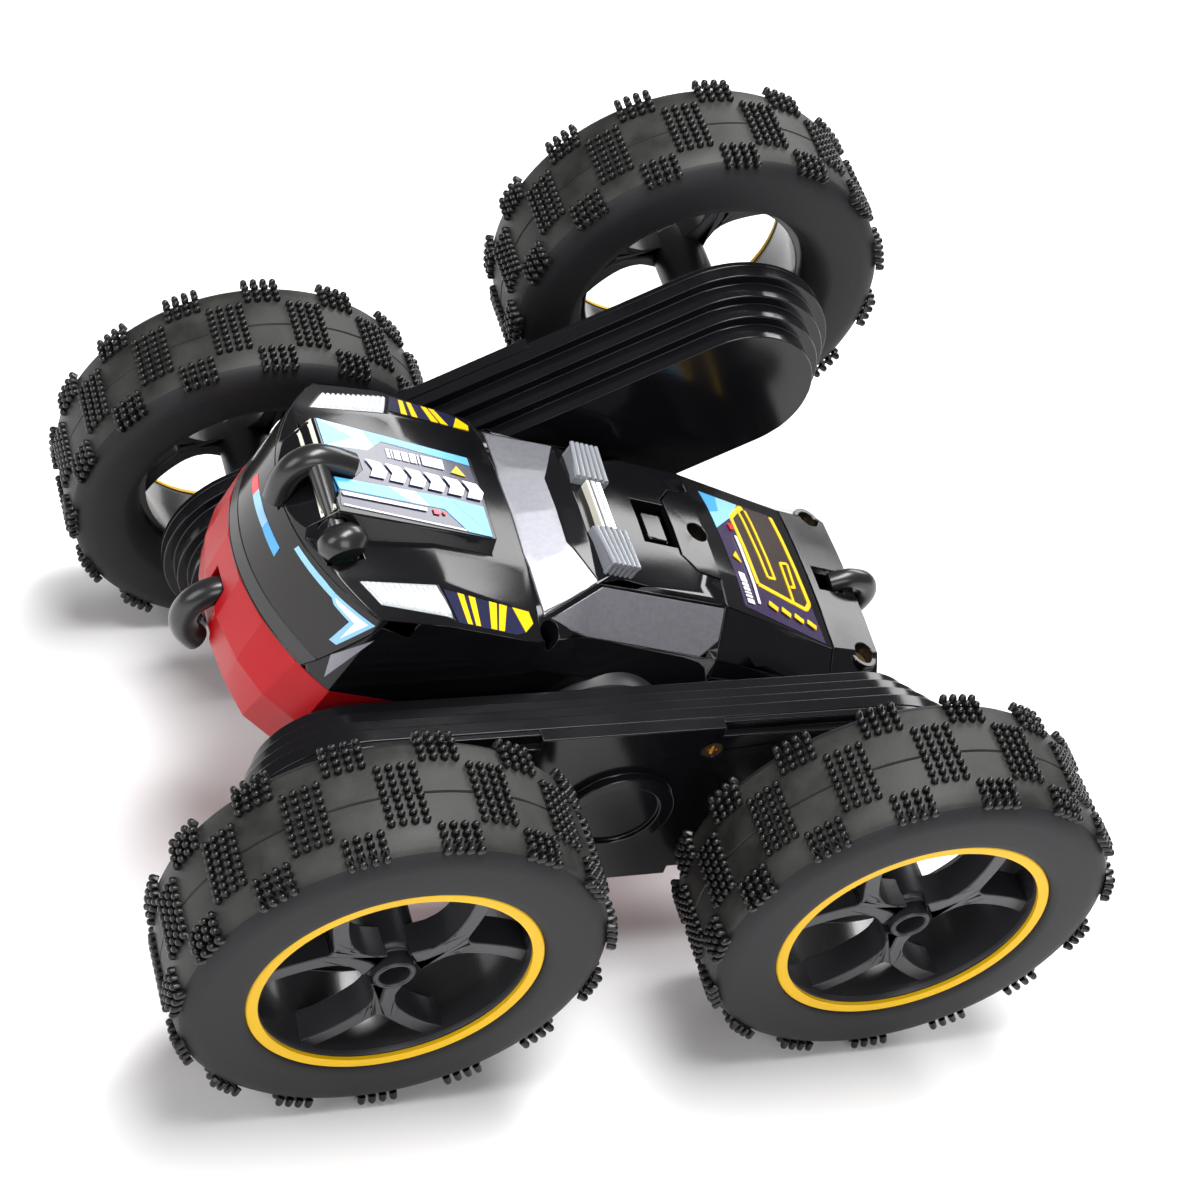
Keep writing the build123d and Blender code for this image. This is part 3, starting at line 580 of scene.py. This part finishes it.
skin = skin_of("upper_shell", "battery_door", "windscreen_panel", "headlight_lenses", "front_lens")
BODY_M = Matrix.Scale(MM, 4) @ BODY
BODY_INV = BODY_M.inverted()


def on_deck(x, y, proud):
    """Point of the upper skin over (x, y), raised by proud."""
    start = BODY_M @ Vector((x, y, 60))
    hit, normal, _, _ = skin.ray_cast(start, (BODY_M.to_3x3() @ Vector((0, 0, -1))).normalized())
    point = BODY_INV @ hit
    out = (BODY.to_3x3().inverted() @ normal).normalized()
    if out.z < 0:
        out.negate()
    return point + out * proud


def on_nose(angle, z, proud):
    """Point of the nose at an angle from straight ahead, raised by proud."""
    radius = NOSE_LOW_R - (NOSE_LOW_R - NOSE_HIGH_R) * (z - NOSE_LOW) / (NOSE_HIGH - NOSE_LOW) + proud
    return Vector((NOSE_AT + radius * cos(radians(angle)), radius * sin(radians(angle)), z))


def film(name, layers, surface, pitch, body="body", thickness=0.2, rise=0.1):
    """Stack of thin outlines that follow a surface; layers are (outline, material), lowest first."""
    shape = Shape()
    materials = []
    for level, (outline, made) in enumerate(layers):
        if made not in materials:
            materials.append(made)
        bm = bmesh.new()
        corners = [bm.verts.new((u, v, 0)) for u, v in outline]
        bm.faces.new(corners)
        for axis in (0, 1):
            low = min(p[axis] for p in outline)
            high = max(p[axis] for p in outline)
            step = pitch[axis]
            cut = (int(low // step) + 1) * step
            while cut < high:
                spot = (cut, 0, 0) if axis == 0 else (0, cut, 0)
                normal = (1, 0, 0) if axis == 0 else (0, 1, 0)
                bmesh.ops.bisect_plane(bm, geom=bm.verts[:] + bm.edges[:] + bm.faces[:],
                                       plane_co=spot, plane_no=normal, dist=1e-5)
                cut += step
        bmesh.ops.triangulate(bm, faces=bm.faces)
        bm.verts.ensure_lookup_table()
        bm.verts.index_update()
        flat = [(v.co.x, v.co.y) for v in bm.verts]
        proud = rise + level * FILM_STEP
        top = [surface(u, v, proud) for u, v in flat]
        low = [surface(u, v, proud - thickness) for u, v in flat]
        count = len(flat)
        faces = [[v.index for v in f.verts] for f in bm.faces]
        under = [[count + i for i in reversed(f)] for f in faces]
        rims = []
        for edge in bm.edges:
            if edge.is_boundary:
                a, b = edge.verts[0].index, edge.verts[1].index
                rims.append([a, b, count + b, count + a])
        shape.add(top + low, faces + under + rims, materials.index(made))
        bm.free()
    place(name, shape, BODY, body, materials, smooth=25)


def bar(a, b, width):
    """Outline of a straight bar between two points."""
    ax, ay = a
    bx, by = b
    length = hypot(bx - ax, by - ay)
    nx, ny = -(by - ay) / length * width / 2, (bx - ax) / length * width / 2
    return [(ax + nx, ay + ny), (ax - nx, ay - ny), (bx - nx, by - ny), (bx + nx, by + ny)]


def between(a, b, share):
    """Point at a share of the way from a to b."""
    return (a[0] + (b[0] - a[0]) * share, a[1] + (b[1] - a[1]) * share)


def strip(edge, other, start, stop):
    """Outline across two edges, each a pair of points, from one share of their length to another."""
    return [between(*edge, start), between(*edge, stop), between(*other, stop), between(*other, start)]


# hood: navy film with faceted blue bands, service bars and block pattern
HOOD_FILM = [(80.8, -14.2), (39.9, -12.4), (39.9, 12.4), (80.6, 12.6)]
hood_layers = [
    (HOOD_FILM, navy),
    ([(80.8, -14.2), (64.4, -13.5), (64.2, -11.2), (68.8, -7.2), (80.7, -5.7)], ice),
    ([(80.8, -14.2), (72.0, -10.4), (80.7, -5.7)], sky),
    ([(68.6, -13.7), (64.4, -13.5), (64.2, -11.2), (66.6, -9.1)], azure),
    ([(64.4, -13.5), (39.9, -12.4), (39.9, -9.9), (64.2, -11.2)], sky),
    ([(64.4, -13.5), (52.0, -12.9), (56.0, -10.8), (64.2, -11.2)], azure),
    ([(80.7, 4.2), (49.6, 2.8), (39.9, 3.3), (39.9, 12.4), (46.4, 12.4), (51.6, 6.8), (80.6, 7.6)], sky),
    ([(66.4, 3.5), (58.8, 3.2), (55.6, 6.9), (60.6, 7.1)], ice),
    ([(49.6, 2.8), (39.9, 3.3), (39.9, 12.4)], azure),
    (bar((80.0, 12.2), (47.0, 12.1), 0.35), white),
]
BAR_TOP, BAR_LOW = ((63.6, -9.0), (48.0, -9.3)), ((63.7, -6.2), (48.2, -6.2))
for start, stop in (
    (0.0, 0.05), (0.08, 0.10), (0.13, 0.24), (0.27, 0.38), (0.41, 0.52), (0.55, 0.57), (0.62, 1.0),
):
    hood_layers.append((strip(BAR_TOP, BAR_LOW, start, stop), white))
hood_layers += [
    ([(46.4, -5.8), (44.3, -8.4), (42.5, -5.4)], amber),
    (bar((55.2, 8.4), (53.6, 8.4), 1.5), scarlet),
    (bar((52.6, 8.3), (51.8, 8.3), 0.9), scarlet),
    (bar((79.6, 8.9), (57.0, 8.4), 0.9), white),
]
# generic row of chevrons in place of the lettering
CHEVRONS = 6
CHEVRON_STEP = 5.3
CHEVRON = [(0, -3.6), (-3.9, -3.4), (-5.2, -0.9), (-3.9, 1.6), (0, 1.6), (-1.3, -0.9)]
for k in range(CHEVRONS):
    at = 70.6 - k * CHEVRON_STEP
    hood_layers.append(([(at + x, y) for x, y in CHEVRON], white))
film("hood_film", hood_layers, on_deck, (4.0, 4.0))
film("hood_front_lines", [(bar((82.0, -14.3), (82.0, 13.2), 0.5), cream),
                          (bar((83.4, -14.0), (83.4, 13.2), 0.4), cream)], on_deck, (4.0, 4.0))

# fender films: navy with pairs of slanting stripes and a solid rear tip
for side, sign in (("left", 1), ("right", -1)):
    edge_in = ((55.2, 27.8), (31.4, 28.6))
    edge_out = ((51.8, 35.2), (35.4, 34.9))
    stripe_out = ((51.8, 35.0), (34.0, 34.7))
    slant = 0.02
    fender = [edge_in[0], edge_in[1], (30.4, 31.2), (32.8, 33.8), edge_out[1], edge_out[0]]
    layers = [(fender, navy)]
    for start, stop in ((0.16, 0.235), (0.29, 0.365), (0.53, 0.62), (0.65, 0.74)):
        layers.append(([
            between(*edge_in, start), between(*edge_in, stop),
            between(*stripe_out, stop - slant), between(*stripe_out, start - slant),
        ], amber))
    layers.append(([(36.0, 28.4), edge_in[1], (30.4, 31.2), (32.8, 33.8)], amber))
    outlines = [([(x, sign * y) for x, y in outline], made) for outline, made in layers]
    film(f"fender_film_{side}", outlines, on_deck, (3.0, 3.0))

# rear deck: violet film with a folded yellow line, sky corner and service bars
REAR_FILM = [(-29.4, -17.0), (-43.9, -17.8), (-55.0, -18.6), (-58.6, 22.6), (-31.0, 19.6), (-30.0, 0.0)]
rear_layers = [
    (REAR_FILM, violet),
    ([(-44.6, -17.6), (-54.9, -18.4), (-57.0, 10.9), (-55.2, 13.3), (-38.2, 11.0), (-37.6, -10.4)], umber),
    ([(-29.4, -17.0), (-43.4, -17.7), (-38.0, -11.0), (-29.9, -4.2)], ice),
    ([(-29.4, -17.0), (-35.4, -17.3), (-33.4, -11.2), (-29.7, -9.6)], sky),
]
folded = [
    (-45.2, -17.2), (-44.0, -17.0), (-37.8, -10.8), (-38.4, 11.0), (-54.8, 13.4), (-56.9, 11.0),
    (-55.8, -18.0),
]
for a, b in zip(folded, folded[1:]):
    rear_layers.append((bar(a, b, 1.25), amber))
hooked = [(-44.6, -16.6), (-42.4, -15.0), (-43.4, 7.2), (-46.0, 6.8), (-45.4, -16.2)]
for a, b in zip(hooked, hooked[1:]):
    rear_layers.append((bar(a, b, 0.8), amber))
inset = [(-50.4, 13.4), (-50.8, 0.0), (-53.6, -0.8), (-53.0, 7.2), (-51.4, 7.6)]
for a, b in zip(inset, inset[1:]):
    rear_layers.append((bar(a, b, 0.8), amber))
MARK_FRONT, MARK_REAR = ((-31.6, 9.6), (-32.2, 18.4)), ((-33.6, 9.6), (-34.4, 18.4))
for start, stop in ((0.0, 0.30), (0.34, 0.44), (0.48, 0.58), (0.63, 0.68), (0.73, 0.80), (0.86, 1.0)):
    rear_layers.append((strip(MARK_FRONT, MARK_REAR, start, stop), white))
rear_layers += [
    (bar((-35.9, -3.4), (-36.3, 17.6), 0.8), white),
    ([(-33.2, 2.6), (-31.6, 4.6), (-34.0, 6.0)], amber),
    (bar((-35.4, -7.4), (-35.5, -5.4), 1.3), scarlet),
]
DASHES = 4
for k in range(DASHES):
    x, y = -40.0 - 4.4 * k, 16.2 + 0.5 * k
    rear_layers.append((bar((x, y), (x - 2.8, y + 1.2), 1.5), amber))
film("rear_deck_film", rear_layers, on_deck, (4.0, 4.0), body="battery_door")

# nose lens graphics
film("lens_bar_far", [
    ([(-16.6, 11.6), (-15.2, 14.3), (-9.0, 14.6), (-9.4, 11.9)], scarlet),
    ([(-9.4, 11.9), (-9.0, 14.6), (3.0, 15.4), (3.0, 12.9)], ice),
    ([(3.0, 12.9), (3.0, 15.4), (12.4, 15.6), (12.7, 12.9)], sky),
], on_nose, (2.0, 4.0))
film("lens_bar_near", [
    ([(16.3, 19.4), (16.8, 20.9), (28.4, 21.4), (33.4, 21.3), (46.6, 22.3), (41.6, 11.4), (39.3, 11.1),
      (40.7, 18.5), (34.8, 18.9), (33.3, 19.8)], ice),
    ([(34.0, 20.5), (45.1, 21.3), (41.3, 13.3), (42.0, 19.2), (35.6, 19.6)], white),
], on_nose, (2.0, 4.0))
for side, sign in (("near", 1), ("far", -1)):
    film(f"lens_corner_{side}", [
        ([(sign * 42.0, 8.3), (sign * 48.6, 19.0), (sign * 44.1, 2.4)], silver),
    ], on_nose, (2.0, 4.0))

# ===========================================================================
# Lamps
# ===========================================================================

HEADLIGHT = [(56.6, 26.8), (53.0, 34.4), (70.6, 32.4), (75.0, 26.8)]
HEADLIGHT_RIBS = 13
for side, sign in (("left", 1), ("right", -1)):
    ribs = []
    for k in range(HEADLIGHT_RIBS):
        share = 0.05 + 0.9 * k / (HEADLIGHT_RIBS - 1)
        a = between(HEADLIGHT[0], HEADLIGHT[3], share)
        b = between(HEADLIGHT[1], HEADLIGHT[2], share)
        a, b = between(a, b, 0.08), between(a, b, 0.92)
        ribs.append((bar((a[0], sign * a[1]), (b[0], sign * b[1]), 0.7), clear))
    film(f"headlight_ribs_{side}", ribs, on_deck, (3.0, 3.0), thickness=0.7, rise=0.35)

# roof lamps: clear blocks with round ribs across the car and down their outer ends
LAMP_RIBS = 6
RIB_R = 0.62
RIB_Z = 38.9


def upright(u, v, h):
    """Plan outline raised as it stands."""
    return (u, v, h)


for side, sign in (("left", 1), ("right", -1)):
    shape = Shape()
    block = [(3.9, sign * 7.8), (3.3, sign * 18.8), (11.6, sign * 18.3), (13.6, sign * 7.8)]
    shape.prism(block, 33.4, 38.6, upright)
    for k in range(LAMP_RIBS):
        share = (k + 0.5) / LAMP_RIBS
        inner_x, outer_x = 3.8 + 9.8 * share, 3.4 + 8.4 * share
        shape.tube([(inner_x, sign * 7.9, RIB_Z), (outer_x, sign * 19.4, RIB_Z)], RIB_R, 16)
        shape.tube([(outer_x, sign * 18.6, 34.0), (outer_x, sign * 18.6, RIB_Z)], RIB_R, 16)
    place(f"roof_lamp_{side}", shape, BODY, "body", [glassy], f"roof_light_{side}", smooth=50)

shape = Shape()
for x0, x1, top, made in ((9.9, 10.7, 38.9, 0), (8.2, 9.7, 39.1, 1), (6.5, 8.0, 38.9, 2)):
    shape.prism([(x0, -7.5), (x0, 7.5), (x1, 7.5), (x1, -7.5)], 35.0, top, upright, made)
place("roof_lamp_bridge", shape, BODY, "body", [cream, glassy, chrome], "roof_light_bridge",
      rounding=0.2)

# bearing collars where the arms pivot
collar_shape = Shape()
collar_shape.lathe([(16.8, 31.0), (19.0, 31.0), (19.0, 38.2), (18.4, 38.9), (17.2, 38.9), (16.8, 38.5)], 96)
for side, flip in (("left", Matrix.Identity(4)), ("right", MIRROR)):
    place(f"bearing_collar_{side}", collar_shape, BODY @ flip, "body", [dark])

# ===========================================================================
# Floor, light and camera
# ===========================================================================

FLOOR_HALF = 6.0            # metres
pale = plastic("floor_pale", (0.88, 0.88, 0.89), 0.75, spread=0.01, grain=3)
floor_mesh = bpy.data.meshes.new("floor")
bm = bmesh.new()
bmesh.ops.create_grid(bm, x_segments=2, y_segments=2, size=FLOOR_HALF)
bm.to_mesh(floor_mesh)
bm.free()
floor_mesh.materials.append(pale)
floor = bpy.data.objects.new("floor", floor_mesh)
bpy.context.scene.collection.objects.link(floor)


def softbox(name, spot, target, size, power):
    """Large soft lamp at a spot, turned to its target; metres and watts."""
    lamp = bpy.data.lights.new(name, "AREA")
    lamp.shape = "RECTANGLE"
    lamp.size, lamp.size_y = size
    lamp.energy = power
    holder = bpy.data.objects.new(name, lamp)
    holder.location = spot
    holder.rotation_mode = "QUATERNION"
    holder.rotation_quaternion = (Vector(target) - Vector(spot)).to_track_quat("-Z", "Y")
    bpy.context.scene.collection.objects.link(holder)


softbox("overhead", (-0.1, 0.1, 1.5), (0, 0, 0.05), (1.2, 0.5), 36)
softbox("front", (1.2, 0.3, 0.7), (0, 0, 0.08), (0.7, 0.7), 7)
softbox("left", (0.1, 1.4, 0.7), (0, 0, 0.05), (0.9, 0.6), 8)
softbox("back", (-1.0, -0.9, 0.9), (0, 0, 0.08), (0.9, 0.5), 12)
world = bpy.data.worlds.new("studio")
world.use_nodes = True
world.node_tree.nodes["Background"].inputs["Color"].default_value = (1, 1, 1, 1)
world.node_tree.nodes["Background"].inputs["Strength"].default_value = 0.20
bpy.context.scene.world = world

azimuth, elevation, roll = radians(CAMERA_AZIMUTH), radians(CAMERA_ELEVATION), radians(CAMERA_ROLL)
back = Vector((sin(azimuth) * cos(elevation), -cos(azimuth) * cos(elevation), sin(elevation)))
right = (-back).cross(Vector((0, 0, 1))).normalized()
down = (-back).cross(right)
level_right = right * cos(roll) + down * sin(roll)
level_down = down * cos(roll) - right * sin(roll)
stance = Matrix((
    (*[level_right[0], -level_down[0], back[0]], 0), (*[level_right[1], -level_down[1], back[1]], 0),
    (*[level_right[2], -level_down[2], back[2]], 0), (0, 0, 0, 1),
))
spot = STAND @ (back * CAMERA_DISTANCE + Vector(CAMERA_AIM))
camera_data = bpy.data.cameras.new("camera")
camera_data.lens = CAMERA_LENS
camera_data.sensor_width = 36.0
camera_data.clip_start = 0.01
camera = bpy.data.objects.new("camera", camera_data)
camera.matrix_world = Matrix.Translation(spot * MM) @ turn(STAND_LEAN, "X") @ stance
bpy.context.scene.collection.objects.link(camera)
bpy.context.scene.camera = camera
bpy.context.scene.view_settings.view_transform = "Standard"
